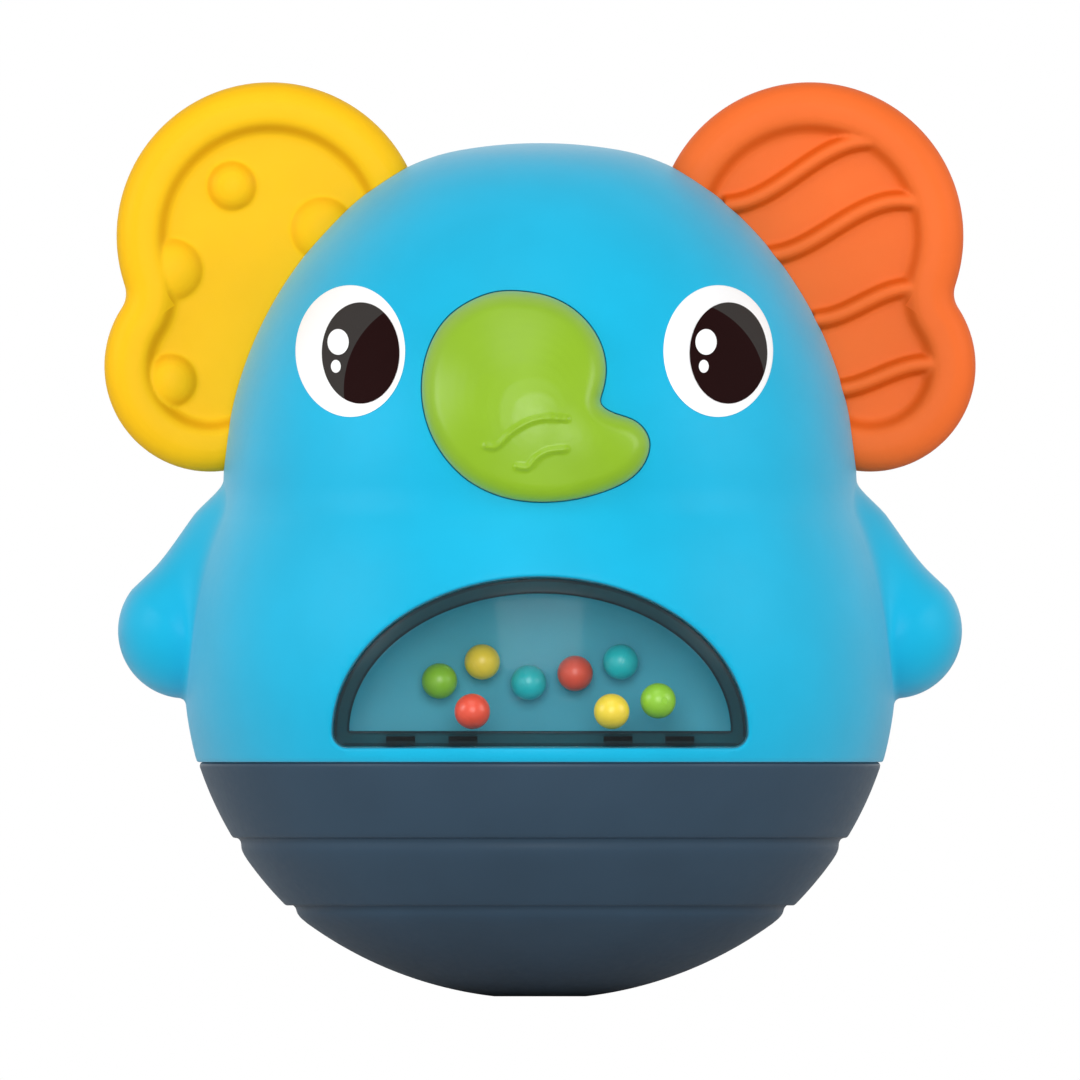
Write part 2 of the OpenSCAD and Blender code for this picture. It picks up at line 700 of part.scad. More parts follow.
// Loose beads as they lie in the chamber, some back on the tray and some forward on the pane: place to the
// side as a share of the window's half width, height over the chamber's floor as a share of its rise
bead_play = 0.3;
chamber_z = window_z + skirt_t + bead_r;
bead_shares = [[-0.487, 0.222], [-0.28, 0.345], [-0.328, 0.025], [-0.055, 0.212], [0.17, 0.271],
    [0.391, 0.345], [0.347, 0.025], [0.572, 0.094]];
bead_forward = [false, false, true, false, false, false, true, true];
tray_row = -(tray_y + plug_t + bead_r + bead_play);
function pane_row(x, z) = -sqrt(pow(belly_r - pane_t - bead_r - bead_play, 2) - x * x - pow(z - belly_z, 2));
function bead_place(i) =
    let (x = bead_shares[i][0] * window_a, z = chamber_z + bead_shares[i][1] * window_b)
    [x, bead_forward[i] ? pane_row(x, z) : tray_row, z];
bead_colours = [[0.45, 0.68, 0.2], [0.93, 0.8, 0.25], [0.87, 0.3, 0.2], [0.1, 0.68, 0.69],
    [0.87, 0.3, 0.2], [0.1, 0.68, 0.69], [0.93, 0.8, 0.25], [0.45, 0.68, 0.2]];
module bead(i) {
    color(bead_colours[i]) translate(bead_place(i)) sphere(bead_r);
}

module shell_screws() {
    color([0.72, 0.72, 0.74]) for (p = long_screws) translate([p[0], seat_y, p[1]])
        screw(screw_r, screw_l, screw_head_r, screw_head_h);
}

module tray_screws() {
    color([0.72, 0.72, 0.74]) for (p = tray_holes) translate([p[0], -tray_y + tray_t, p[1]])
        screw(pin_r, pin_l, pin_head_r, pin_head_h);
}

module nose_screws() {
    color([0.72, 0.72, 0.74]) for (p = nose_pegs) translate([p[0], peg_seat(p), p[1]])
        screw(pin_r, pin_l - 2 * fit, peg_r + peg_wall - fit, pin_head_h);
}

// Printed eyes: ovals laid on the head, one layer over the other
eye_x = 24.15;
eye_shift = -0.75;
eye_z = 84.7;
white_size = [14.4, 17.3];
pupil_size = [10.2, 13.3];
pupil_shift = [1.35, -0.25];
glint_size = [2.8, 3.4];
spark_size = [1.3, 1.7];
glint_shift = [-1.6, 1.2];
spark_shift = [-1.9, -2];
eye_places = [[-eye_x + eye_shift, eye_z], [eye_x + eye_shift, eye_z]];
module oval(c, size) {
    polygon([for (t = [0:9:351]) c + [size[0] * cos(t), size[1] * sin(t)] / 2]);
}

// A layer of ink over the head between two heights above the skin
module ink(low, high) {
    intersection() {
        front_extrude(-reach, 0) children();
        difference() {
            skin(-high, seam_z);
            skin(-low, seam_z - overrun);
        }
    }
}

module eye_whites() {
    color("white") ink(0, ink_t) for (p = eye_places) oval(p, white_size);
}

module eye_pupils() {
    color([0.12, 0.06, 0.06]) ink(ink_t, 2 * ink_t) for (p = eye_places) oval(p + pupil_shift, pupil_size);
}

module eye_glints() {
    color("white") ink(2 * ink_t, 3 * ink_t) for (p = eye_places) {
        oval(p + glint_shift, glint_size);
        oval(p + spark_shift, spark_size);
    }
}

front_shell();
back_shell();
base_bowl();
yellow_ear();
orange_ear();
nose();
window();
bead_tray();
for (i = [0:len(beads) - 1]) bead(i);
counterweight();
weight_cover();
weight_screws();
shell_screws();
tray_screws();
nose_screws();
eye_whites();
eye_pupils();
eye_glints();
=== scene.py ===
import json
from math import acos, asin, atan2, cos, degrees, hypot, pi, radians, sin, sqrt

import bmesh
import bpy
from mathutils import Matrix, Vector


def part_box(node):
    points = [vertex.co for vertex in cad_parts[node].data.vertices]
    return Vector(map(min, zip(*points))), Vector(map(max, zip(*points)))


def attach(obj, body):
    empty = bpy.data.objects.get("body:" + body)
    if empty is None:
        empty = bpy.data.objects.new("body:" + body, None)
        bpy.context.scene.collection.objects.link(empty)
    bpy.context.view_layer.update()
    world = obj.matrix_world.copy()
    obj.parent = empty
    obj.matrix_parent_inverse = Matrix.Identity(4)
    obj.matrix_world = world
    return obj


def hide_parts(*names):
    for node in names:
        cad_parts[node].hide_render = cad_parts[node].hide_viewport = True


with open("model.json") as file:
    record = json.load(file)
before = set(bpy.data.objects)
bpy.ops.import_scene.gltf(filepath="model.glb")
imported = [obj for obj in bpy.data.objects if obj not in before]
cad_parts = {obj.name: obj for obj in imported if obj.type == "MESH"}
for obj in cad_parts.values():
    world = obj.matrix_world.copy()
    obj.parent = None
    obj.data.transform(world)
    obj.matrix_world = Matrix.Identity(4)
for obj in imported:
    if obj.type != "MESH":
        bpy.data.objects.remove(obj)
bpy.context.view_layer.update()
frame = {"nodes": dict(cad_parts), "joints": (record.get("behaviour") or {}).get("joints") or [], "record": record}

# ---------------------------------------------------------------------------------------------
# Base bowl. One moulded bowl of slate-grey plastic on which the toy rocks. Two shallow steps run
# round it, its top edge is rounded off at the seam, and a collar on it snaps into the shells.
mm = 0.001
seam_z = 30.6
foot_r = 6
bowl_wall = 2.4
bowl_c, bowl_r = (0.02, 45.18), 47.1
heel_c, heel_r = (0, 51.65), 52
step_hi_z, step_lo_z, heel_z = 21.15, 12.15, 10.9
# Each step as distance down the wall and depth into it
step_line = [(0, 0), (0.25, 0.03), (0.42, 0.1), (0.55, 0.24), (0.7, 0.42), (0.88, 0.56), (1.1, 0.62),
             (1.4, 0.6), (1.65, 0.51), (1.9, 0.37), (2.2, 0.22), (2.6, 0.11), (3.1, 0.04), (4, 0)]
lip_line = [(0.02, 0.5), (0.06, 0.3), (0.16, 0.15), (0.32, 0.05), (0.55, 0)]
step_end, step_lo_deep, wall_step = 4.2, 1.15, 0.9
# The collar as radius and height; it leaves the front open for the bead chamber
collar = [(40.7, 28.8), (43.1, 28.8), (43.1, 29.7), (42.3, 29.7), (42.3, 32.8), (44.2, 32.8), (44.2, 34.4),
          (42.3, 34.4), (42.3, 36), (40.7, 36), (40.7, 28.8)]
collar_start, collar_sweep = -38, 256
post_ring, post_r, post_low, post_high = 18, 2.8, 4.4, 12.5
pilot_r, pilot_low, pilot_high = 1.15, 7.5, 14


def polar(c, r, turn):
    """A point of an arc in radius and height, at an angle in degrees from the top."""
    return Vector((c[0] + r * sin(radians(turn)), c[1] + r * cos(radians(turn))))


def turn_at(c, r, z):
    return degrees(acos((z - c[1]) / r))


def arc(c, r, start, end, steps):
    return [polar(c, r, start + (end - start) * k / steps) for k in range(steps + 1)]


def deselect():
    if bpy.context.mode != "OBJECT":
        bpy.ops.object.mode_set(mode="OBJECT")
    bpy.ops.object.select_all(action="DESELECT")


def edit(piece):
    deselect()
    piece.select_set(True)
    bpy.context.view_layer.objects.active = piece
    bpy.ops.object.mode_set(mode="EDIT")


def lathe(name, profile, steps, start=0, sweep=360):
    """Turn a profile of radii and heights in mm round the upright axis."""
    deselect()
    bpy.ops.mesh.primitive_plane_add(size=mm)
    piece = bpy.context.object
    piece.name = piece.data.name = name
    bpy.ops.object.mode_set(mode="EDIT")
    bpy.ops.mesh.merge(type="CENTER")
    across = Vector((cos(radians(start)), sin(radians(start)), 0)) * mm
    spots = [across * p[0] + Vector((0, 0, p[1])) * mm for p in profile]
    bpy.ops.transform.translate(value=spots[0])
    for a, b in zip(spots, spots[1:]):
        bpy.ops.mesh.extrude_region_move(TRANSFORM_OT_translate={"value": b - a})
    bpy.ops.mesh.select_all(action="SELECT")
    bpy.ops.mesh.spin(steps=steps, angle=-radians(sweep), center=(0, 0, 0), axis=(0, 0, 1))
    bpy.ops.mesh.select_all(action="SELECT")
    bpy.ops.mesh.remove_doubles(threshold=0.001 * mm)
    if sweep < 360:
        bpy.ops.mesh.select_all(action="DESELECT")
        bpy.ops.mesh.select_non_manifold()
        bpy.ops.mesh.edge_face_add()
        bpy.ops.mesh.select_all(action="SELECT")
    bpy.ops.mesh.normals_make_consistent(inside=False)
    bpy.ops.object.mode_set(mode="OBJECT")
    return piece


def weld(piece, *more):
    """Join meshes into one object without changing their shapes."""
    deselect()
    for m in more:
        m.select_set(True)
    piece.select_set(True)
    bpy.context.view_layer.objects.active = piece
    if more:
        bpy.ops.object.join()
    return piece


def join_by(how, piece, *tools):
    """Cut the tools from a piece, add them to it or keep what they share; the tools are used up."""
    tool = weld(*tools)
    deselect()
    bpy.context.view_layer.objects.active = piece
    step = piece.modifiers.new("join", "BOOLEAN")
    step.operation, step.solver, step.object = how, "MANIFOLD", tool
    bpy.ops.object.modifier_apply(modifier=step.name)
    bpy.data.objects.remove(tool)
    return piece


def rod(x, y, r, low, high, along="Z", sides=48):
    """A plain round tool in mm, along Z at x and y, or along Y at x and height y."""
    deselect()
    mid = (low + high) / 2
    bpy.ops.mesh.primitive_cylinder_add(
        vertices=sides, radius=r * mm, depth=(high - low) * mm,
        location=Vector((x, y, mid) if along == "Z" else (x, mid, y)) * mm,
        rotation=(0, 0, 0) if along == "Z" else (radians(90), 0, 0))
    bpy.ops.object.transform_apply(location=True, rotation=True, scale=True)
    return bpy.context.object


def block(x, y, z, wide, deep, high):
    """A plain square tool in mm round its middle."""
    deselect()
    bpy.ops.mesh.primitive_cube_add(size=mm, location=Vector((x, y, z)) * mm)
    bpy.ops.transform.resize(value=(wide, deep, high))
    bpy.ops.object.transform_apply(location=True, rotation=True, scale=True)
    return bpy.context.object


def smooth(piece, turn=35):
    """Clear faces without area and shade as smooth all edges below an angle."""
    edit(piece)
    bpy.ops.mesh.select_all(action="SELECT")
    bpy.ops.mesh.dissolve_degenerate(threshold=0.001 * mm)
    bpy.ops.object.mode_set(mode="OBJECT")
    bpy.ops.object.shade_smooth_by_angle(angle=radians(turn))


def plastic(name, colour, rough=0.4, gloss=0.45, grain=0.05, worn=0, drift=0.06, haze=0):
    """Moulded plastic: a slow drift of the colour, uneven sheen, fine texture and, if worn, paler edges."""
    look = bpy.data.materials.new(name)
    look.use_nodes = True
    nodes, links = look.node_tree.nodes, look.node_tree.links
    shader = nodes["Principled BSDF"]
    shader.inputs["Specular IOR Level"].default_value = gloss
    shader.inputs["Sheen Weight"].default_value = haze
    place = nodes.new("ShaderNodeTexCoord")

    def noise(scale, detail):
        n = nodes.new("ShaderNodeTexNoise")
        n.inputs["Scale"].default_value = scale
        n.inputs["Detail"].default_value = detail
        links.new(place.outputs["Object"], n.inputs["Vector"])
        return n.outputs["Fac"]

    def ramp(value, stops):
        r = nodes.new("ShaderNodeValToRGB")
        for e, (at, c) in zip(r.color_ramp.elements, stops):
            e.position, e.color = at, (*c, 1)
        links.new(value, r.inputs["Fac"])
        return r.outputs["Color"]

    shade = ramp(noise(70, 3), [(0.3, [c * (1 - drift) for c in colour]),
                                (0.7, [min(1, c * (1 + drift)) for c in colour])])
    edges = nodes.new("ShaderNodeNewGeometry")
    wear = ramp(edges.outputs["Pointiness"], [(0.52, (0, 0, 0)), (0.62, (worn, worn, worn))])
    pale = nodes.new("ShaderNodeMix")
    pale.data_type = "RGBA"
    links.new(wear, pale.inputs["Factor"])
    links.new(shade, pale.inputs["A"])
    pale.inputs["B"].default_value = (*[0.5 + c / 2 for c in colour], 1)
    links.new(pale.outputs["Result"], shader.inputs["Base Color"])
    sheen = nodes.new("ShaderNodeMapRange")
    sheen.inputs["To Min"].default_value = rough - 0.05
    sheen.inputs["To Max"].default_value = rough + 0.07
    links.new(noise(900, 4), sheen.inputs["Value"])
    links.new(sheen.outputs["Result"], shader.inputs["Roughness"])
    bump = nodes.new("ShaderNodeBump")
    bump.inputs["Strength"].default_value = grain
    bump.inputs["Distance"].default_value = 0.1 * mm
    links.new(noise(3500, 2), bump.inputs["Height"])
    links.new(bump.outputs["Normal"], shader.inputs["Normal"])
    return look


def masked(look, other, test):
    """Give part of a moulded look another colour, where a test of place and facing says so."""
    nodes, links = look.node_tree.nodes, look.node_tree.links
    shader = nodes["Principled BSDF"]
    place = nodes.new("ShaderNodeTexCoord")
    axes = nodes.new("ShaderNodeSeparateXYZ")
    links.new(place.outputs["Object"], axes.inputs[0])
    face = nodes.new("ShaderNodeSeparateXYZ")
    links.new(place.outputs["Normal"], face.inputs[0])

    def do(how, a, b):
        n = nodes.new("ShaderNodeMath")
        n.operation = how
        for k, v in enumerate((a, b)):
            if isinstance(v, (int, float)):
                n.inputs[k].default_value = v
            else:
                links.new(v, n.inputs[k])
        return n.outputs[0]

    mixed = nodes.new("ShaderNodeMix")
    mixed.data_type = "RGBA"
    links.new(test(do, axes.outputs, face.outputs), mixed.inputs["Factor"])
    links.new(shader.inputs["Base Color"].links[0].from_socket, mixed.inputs["A"])
    mixed.inputs["B"].default_value = (*other, 1)
    links.new(mixed.outputs["Result"], shader.inputs["Base Color"])
    return look


def dress(piece, look):
    piece.data.materials.clear()
    piece.data.materials.append(look)


bowl_start = turn_at(bowl_c, bowl_r, seam_z)
bowl_len = bowl_r * radians(turn_at(bowl_c, bowl_r, heel_z) - bowl_start)
heel_start = turn_at(heel_c, heel_r, heel_z)
heel_len = heel_r * radians(turn_at(heel_c, heel_r, 0) - heel_start)


def bowl_point(s, depth):
    """A point of the base's outside, s down from the seam and depth inside it."""
    if s < bowl_len:
        return polar(bowl_c, bowl_r - depth, bowl_start + degrees(s / bowl_r))
    return polar(heel_c, heel_r - depth, heel_start + degrees((s - bowl_len) / heel_r))


step_hi = bowl_r * radians(turn_at(bowl_c, bowl_r, step_hi_z) - bowl_start)
step_lo = bowl_r * radians(turn_at(bowl_c, bowl_r, step_lo_z) - bowl_start)
plain = [(s * wall_step, 0) for s in range(1, int((bowl_len + heel_len) / wall_step))
         if not any(0 <= s * wall_step - top <= step_end for top in (step_hi, step_lo))]
outside = lip_line + plain + [(step_hi + s, d) for s, d in step_line]
outside += [(step_lo + s, d * step_lo_deep) for s, d in step_line]
profile = [Vector((0, 0)), Vector((foot_r / 2, 0)), Vector((foot_r, 0))]
profile += [bowl_point(s, d) for s, d in sorted(outside, reverse=True)]
profile += [Vector((bowl_point(0, 0)[0] - 0.8, seam_z - 0.05))]
profile += [polar(bowl_c, bowl_r - bowl_wall, t) for t in (bowl_start, *range(112, 137, 4))]
profile += arc(heel_c, heel_r - bowl_wall, 142, 180, 14)
base = lathe("base_bowl_moulded", profile, 240)
posts = [(post_ring * cos(radians(t)), post_ring * sin(radians(t))) for t in (30, 150, 270)]
join_by("UNION", base, lathe("collar", collar, 128, collar_start, collar_sweep),
        *[rod(*p, post_r, post_low, post_high) for p in posts])
join_by("DIFFERENCE", base, *[rod(*p, pilot_r, pilot_low, pilot_high) for p in posts])
smooth(base)
dress(base, plastic("slate base", (0.029, 0.059, 0.095), rough=0.42, gloss=0.25))
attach(base, "toy")
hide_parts("base_bowl")

# ---------------------------------------------------------------------------------------------
# Counterweight, its cover and three short screws. A cast lump lies on the bottom of the base between
# the posts, and a moulded plate is screwed down over it. All of it is out of sight in the toy.


def metal(name, colour, rough, scale):
    """Bare metal with uneven tone, and pits or brush marks in its surface."""
    look = plastic(name, colour, rough=rough, grain=0.2, worn=0.3, drift=0.15)
    look.node_tree.nodes["Principled BSDF"].inputs["Metallic"].default_value = 1
    for n in look.node_tree.nodes:
        if n.type == "TEX_NOISE" and n.inputs["Scale"].default_value > 1000:
            n.inputs["Scale"].default_value = scale
    return look


dress(frame["nodes"]["counterweight"], metal("cast iron", (0.12, 0.12, 0.125), 0.62, 900))
dress(frame["nodes"]["weight_cover"], plastic("cover plate", (0.5, 0.5, 0.47), rough=0.5, worn=0.12))
screw_steel = metal("zinc plated steel", (0.55, 0.56, 0.58), 0.32, 2200)
dress(frame["nodes"]["weight_screws"], screw_steel)

# ---------------------------------------------------------------------------------------------
# Ears. Two soft teether ears of silicone in one piece each, with a rolled rim round a dished floor;
# one has round studs on the floor, the other raised waves. A flat tongue goes between the shells.
crown_c, crown_r, crown_turn = (0, 52), 60, 10
brow_r, brow_turn = 27, 38
cheek_r, neck_r, belly_r = 50, 12, 46.75
belly_c = (0, 43.3)
brow_c = polar(crown_c, crown_r - brow_r, crown_turn)
cheek_c = polar(brow_c, brow_r - cheek_r, brow_turn)


def meet(a, ra, b, rb):
    """The point that lies ra from a and rb from b, on the right of the way from a to b."""
    a, b = Vector(a), Vector(b)
    d = (b - a).length
    u = (b - a) / d
    t = (ra * ra - rb * rb + d * d) / (2 * d)
    return a + u * t + Vector((u[1], -u[0])) * sqrt(ra * ra - t * t)


def turn_of(v):
    return degrees(atan2(v[0], v[1]))


neck_c = meet(belly_c, belly_r + neck_r, cheek_c, cheek_r + neck_r)
cheek_turn = turn_of(neck_c - cheek_c)
neck_turn = turn_of(neck_c - Vector(belly_c))


def skin_line(d, foot):
    """The profile of head and belly that lies d inside the skin, from the crown down."""
    row = [Vector((0, crown_c[1] + crown_r - d))]
    row += arc(crown_c, crown_r - d, 0, crown_turn, 10)[1:]
    row += arc(brow_c, brow_r - d, crown_turn, brow_turn, 13)[1:]
    row += arc(cheek_c, cheek_r - d, brow_turn, cheek_turn, 44)[1:]
    row += arc(neck_c, neck_r + d, cheek_turn + 180, neck_turn + 180, 10)[1:]
    row += arc(belly_c, belly_r - d, neck_turn, turn_at(belly_c, belly_r - d, foot), 40)[1:]
    return row


def skin_r(z, d=0):
    """Radius of the skin at a height, d inside it."""
    def beside(c, r):
        return c[0] + sqrt(r * r - (z - c[1]) ** 2)
    if z > crown_c[1] + (crown_r - d) * cos(radians(crown_turn)):
        return beside(crown_c, crown_r - d)
    if z > brow_c[1] + (brow_r - d) * cos(radians(brow_turn)):
        return beside(brow_c, brow_r - d)
    if z > cheek_c[1] + (cheek_r - d) * cos(radians(cheek_turn)):
        return beside(cheek_c, cheek_r - d)
    if z > belly_c[1] + (belly_r - d) * cos(radians(neck_turn)):
        return neck_c[0] - sqrt((neck_r + d) ** 2 - (z - neck_c[1]) ** 2)
    return beside(belly_c, belly_r - d)


def skin_y(x, z, d=0):
    """Depth of the skin at a place seen from the front."""
    return -sqrt(skin_r(z, d) ** 2 - x * x)


def loft(name, rings):
    """A closed solid through rings of points in mm, extruded ring by ring and capped at both ends."""
    deselect()
    bpy.ops.mesh.primitive_circle_add(vertices=len(rings[0]), radius=mm)
    piece = bpy.context.object
    piece.name = piece.data.name = name
    bpy.ops.object.mode_set(mode="EDIT")
    mesh = bmesh.from_edit_mesh(piece.data)
    mesh.verts.ensure_lookup_table()
    order = {v.co.to_tuple(): k for k, v in enumerate(mesh.verts)}
    bpy.ops.mesh.edge_face_add()
    for k, ring in enumerate(rings):
        if k:
            bpy.ops.mesh.extrude_region_move()
        mesh = bmesh.from_edit_mesh(piece.data)
        placed = {}
        for v in mesh.verts:
            if v.select:
                spot = order[v.co.to_tuple()]
                v.co = Vector(ring[spot]) * mm
                placed[v.co.to_tuple()] = spot
        order = placed
        bmesh.update_edit_mesh(piece.data)
    bpy.ops.mesh.select_all(action="SELECT")
    bpy.ops.mesh.normals_make_consistent(inside=False)
    bpy.ops.object.mode_set(mode="OBJECT")
    return piece


def soften(piece, voxel, rounds):
    """Melt overlapping solids into one skin and round its creases a little."""
    deselect()
    bpy.context.view_layer.objects.active = piece
    melt = piece.modifiers.new("melt", "REMESH")
    melt.mode, melt.voxel_size = "VOXEL", voxel * mm
    bpy.ops.object.modifier_apply(modifier=melt.name)
    relax = piece.modifiers.new("relax", "SMOOTH")
    relax.factor, relax.iterations = 0.5, rounds
    bpy.ops.object.modifier_apply(modifier=relax.name)
    return piece


hi_c, hi_r = Vector((-35.4, 99.8)), 20.2
lo_c, lo_r = Vector((-43.3, 82.75)), 13.9
notch_r = 3.3
notch_in = meet(lo_c, lo_r + notch_r, hi_c, hi_r + notch_r)
notch_out = meet(hi_c, hi_r + notch_r, lo_c, lo_r + notch_r)


def ear_outline(d):
    """Outline of the left ear, d inside its edge: two lobes with a fillet in each notch."""
    return (arc(hi_c, hi_r - d, turn_of(notch_out - hi_c), turn_of(notch_in - hi_c), 120)[1:]
            + arc(notch_in, notch_r + d, turn_of(hi_c - notch_in), turn_of(lo_c - notch_in), 14)[1:]
            + arc(lo_c, lo_r - d, turn_of(notch_in - lo_c), turn_of(notch_out - lo_c) + 360, 90)[1:]
            + arc(notch_out, notch_r + d, turn_of(lo_c - notch_out), turn_of(hi_c - notch_out), 14)[1:])


floor_t, relief_h = 3.4, 1.4
# The rim's section as distance in from the edge and height over the middle plane, back half first
rim_half = [(0, 0), (0.05, 0.6), (0.2, 1.2), (0.46, 1.8), (0.85, 2.35), (1.35, 2.8), (2, 3.15),
            (2.8, 3.36), (3.6, 3.4), (4.5, 3.36), (5.15, 3.2), (5.6, 2.92), (6, 2.52), (6.35, 2.14),
            (6.7, 1.85), (7.2, 1.68)]
rim_section = [(d, -h) for d, h in reversed(rim_half[1:])] + rim_half
dot_shares = [(-0.25, 0.325, 0.175), (0.34, 0.045, 0.227), (-0.64, -0.22, 0.22), (-0.65, -0.94, 0.19)]
wave_shares = [(-0.56, 0.52, 0.41, 0.21), (-0.3, 0.72, 0.05, 0.18), (0.02, 0.76, -0.44, 0.105),
               (0.14, 0.86, -0.915, 0.085)]
wave_turn, wave_w = 205, 2.9
relief_y = 0.8
relief_r = floor_t / 2 + relief_h - relief_y
dish_in, ear_fit, gap = 4.7, 0.02, 0.15
tongue_x, tongue_z, tongue_l, tongue_t, tongue_h = 30.75, 89, 22.5, 3, 16
screw_hi, screw_lo, screw_clear_r = (23.5, 90), (33, 53.3), 1.55
pin_x, pin_z, pin_r, hole_l = 29, 84.5, 1.9, 8


def studs():
    """Low round studs on the floor of the yellow ear."""
    for x, z, share in dot_shares:
        deselect()
        bpy.ops.mesh.primitive_uv_sphere_add(segments=48, ring_count=24, radius=share * hi_r * mm)
        bpy.ops.object.mode_set(mode="EDIT")
        bpy.ops.transform.resize(value=(1, relief_r / (share * hi_r), 1))
        bpy.ops.transform.translate(value=Vector((hi_c[0] + x * hi_r, -relief_y, hi_c[1] + z * hi_r)) * mm)
        bpy.ops.object.mode_set(mode="OBJECT")
        yield bpy.context.object


def waves():
    """Raised round waves on the floor of the orange ear."""
    for x0, x1, z, rise in wave_shares:
        def spot(t):
            return Vector((x0 + (x1 - x0) * t, z - rise * cos(radians(wave_turn * t)))) * hi_r
        rings = []
        for k in range(41):
            at, along = spot(k / 40), spot(k / 40 + 0.01) - spot(k / 40 - 0.01)
            side = Vector((-along[1], along[0])).normalized() * wave_w / 2
            turns = [t * pi / 12 for t in range(24)]
            rings.append([(-hi_c[0] + at[0] + side[0] * cos(t), relief_r * sin(t) - relief_y,
                           hi_c[1] + at[1] + side[1] * cos(t)) for t in turns])
        yield loft("wave", rings)


def dish_wall_shade(do, axis, face):
    """Walls of the relief inside the rolled rim, painted a deeper, darker colour as shade in the dish."""
    across = do("ABSOLUTE", axis["X"], 0)

    def within(c, r):
        dx, dz = do("ADD", across, c[0] * mm), do("SUBTRACT", axis["Z"], c[1] * mm)
        return do("LESS_THAN", do("ADD", do("MULTIPLY", dx, dx), do("MULTIPLY", dz, dz)), (r * mm) ** 2)

    inside = do("MAXIMUM", within(hi_c, hi_r - dish_in), within(lo_c, lo_r - dish_in))
    steep = do("MULTIPLY", do("SUBTRACT", 0.95, do("ABSOLUTE", face["Y"], 0)), 2.5)
    steep = do("MINIMUM", do("MAXIMUM", steep, 0), 0.75)
    return do("MULTIPLY", inside, steep)


def ear(name, side, relief, colour, node):
    """Roll the rim, melt the relief into the floor, fit the ear to the head and add its tongue."""
    piece = loft(name, [[(side * p[0], h, p[1]) for p in ear_outline(d)] for d, h in rim_section])
    soften(weld(piece, *relief), voxel=0.3, rounds=3)
    join_by("DIFFERENCE", piece, lathe("head", skin_line(-ear_fit, seam_z) + [Vector((0, seam_z))], 192))
    join_by("UNION", piece, block(-side * tongue_x, 0, tongue_z, tongue_l, tongue_t, tongue_h))
    join_by("DIFFERENCE", piece,
            rod(-side * screw_hi[0], screw_hi[1], screw_clear_r, -hole_l / 2, hole_l / 2, "Y"),
            rod(-side * pin_x, pin_z, pin_r, -hole_l / 2, hole_l / 2, "Y"))
    smooth(piece, 50)
    tint, (r, g, b) = colour
    look = plastic(f"{tint} silicone", (r, g, b), rough=0.5, gloss=0.12, grain=0.04, drift=0.03)
    # The dish walls get a darker, deeper colour: painted shade in the recess, not a colour of the silicone.
    dress(piece, masked(look, (0.74 * r, 0.55 * g, 0.05 * b), dish_wall_shade))
    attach(piece, "toy")
    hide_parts(node)


ear("yellow_ear_soft", 1, studs(), ("yellow", (0.92, 0.51, 0.006)), "yellow_ear")
ear("orange_ear_soft", -1, waves(), ("orange", (0.84, 0.15, 0.026)), "orange_ear")

# ---------------------------------------------------------------------------------------------
# Body shells. Head, belly and arms are moulded in sky-blue plastic as a front and a back half that meet
# at the middle plane; four long screws in deep wells at the back pull them together.
wall = 2.2
arm_c, arm_r, arm_tilt, arm_taper = Vector((46.5, 0, 48)), 8.9, 42, 4.5
arm_l = 2 * arm_r
arm_dir = Vector((-sin(radians(arm_tilt)), 0, cos(radians(arm_tilt))))
arm_core = arm_c + 3 * arm_dir - Vector((6, 0, 0))
# Where the arms stand on the skin: from the side, to each face, and between two heights
arm_in, arm_deep, arm_low, arm_high = 30, 22, 34, 70
# Width of the blend between arm and belly: in the crease, at the shoulder's side and at its front
crease, blend_side, blend_front, blend_y = 0.85, 7.6, 2.8, 9
# Height at which the blend begins, the rise to its full width, and the drop to none at the arm's top
blend_z, blend_rise, blend_drop = 42, 22, 7
parting_w, parting_d = 0.25, 0.12
well_r, well_wall_r, well_floor, post_back = 3.1, 4.6, 8, 1.5
front_post_r, front_pilot_r, front_pilot_l = 3.2, 1.5, 11
beyond = 60


def ease(t):
    t = min(max(t, 0), 1)
    return t * t * (3 - 2 * t)


def off_arm(p):
    """Distance from the arm's tapered, round-ended form."""
    fall = sin(radians(arm_taper))
    v = p - arm_c
    t = v.dot(arm_dir)
    off = (v - arm_dir * t).length
    t = min(max(t + off * fall / sqrt(1 - fall * fall), 0), arm_l)
    return (v - arm_dir * t).length - (arm_r - t * fall)


def off_body(p):
    """Distance from the belly and the neck above it."""
    v = Vector((hypot(p[0], p[1]), p[2]))
    if turn_of(v - Vector(belly_c)) > neck_turn:
        return (v - Vector(belly_c)).length - belly_r
    if v[1] < neck_c[1]:
        return neck_r - (v - neck_c).length
    return (v - cheek_c).length - cheek_r


def off_toy(p):
    """Belly and arm with a crease under the arm that opens into a soft blend at the shoulder."""
    a, b = off_body(p), off_arm(p)
    full = blend_side - (blend_side - blend_front) * ease(abs(p[1]) / blend_y)
    rise, drop = ease((p[2] - blend_z) / blend_rise), ease((arm_high - p[2]) / blend_drop)
    soft = 0.05 + (crease + full * rise) * drop
    near = max(soft - abs(a - b), 0) / soft
    return min(a, b) - near * near * soft / 4


def in_cavity(p):
    """True for a point of the shells' inner wall."""
    top = crown_c[1] + crown_r
    if arm_low < p[2] < arm_high - 1:
        return off_toy(Vector((abs(p[0]), p[1], p[2]))) < -wall / 2
    return hypot(p[0], p[1]) < skin_r(min(p[2], top - 0.1)) - 0.7 * wall and p[2] < top - wall / 2


def raise_arms(piece):
    """Push the skin out along lines from inside each arm until it lies on the blended form."""
    for v in piece.data.vertices:
        p = Vector((abs(v.co[0]), v.co[1], v.co[2])) / mm
        if p[0] < arm_in or abs(p[1]) > arm_deep or not arm_low <= p[2] <= arm_high:
            continue
        d = 0 if off_body(p) > -wall / 2 else wall
        if off_toy(p) + d > -0.0005:
            continue
        low, high = 1, 6
        for _ in range(26):
            s = (low + high) / 2
            if off_toy(arm_core + (p - arm_core) * s) + d < 0:
                low = s
            else:
                high = s
        q = arm_core + (p - arm_core) * low
        v.co = Vector((q[0] if v.co[0] > 0 else -q[0], q[1], q[2])) * mm


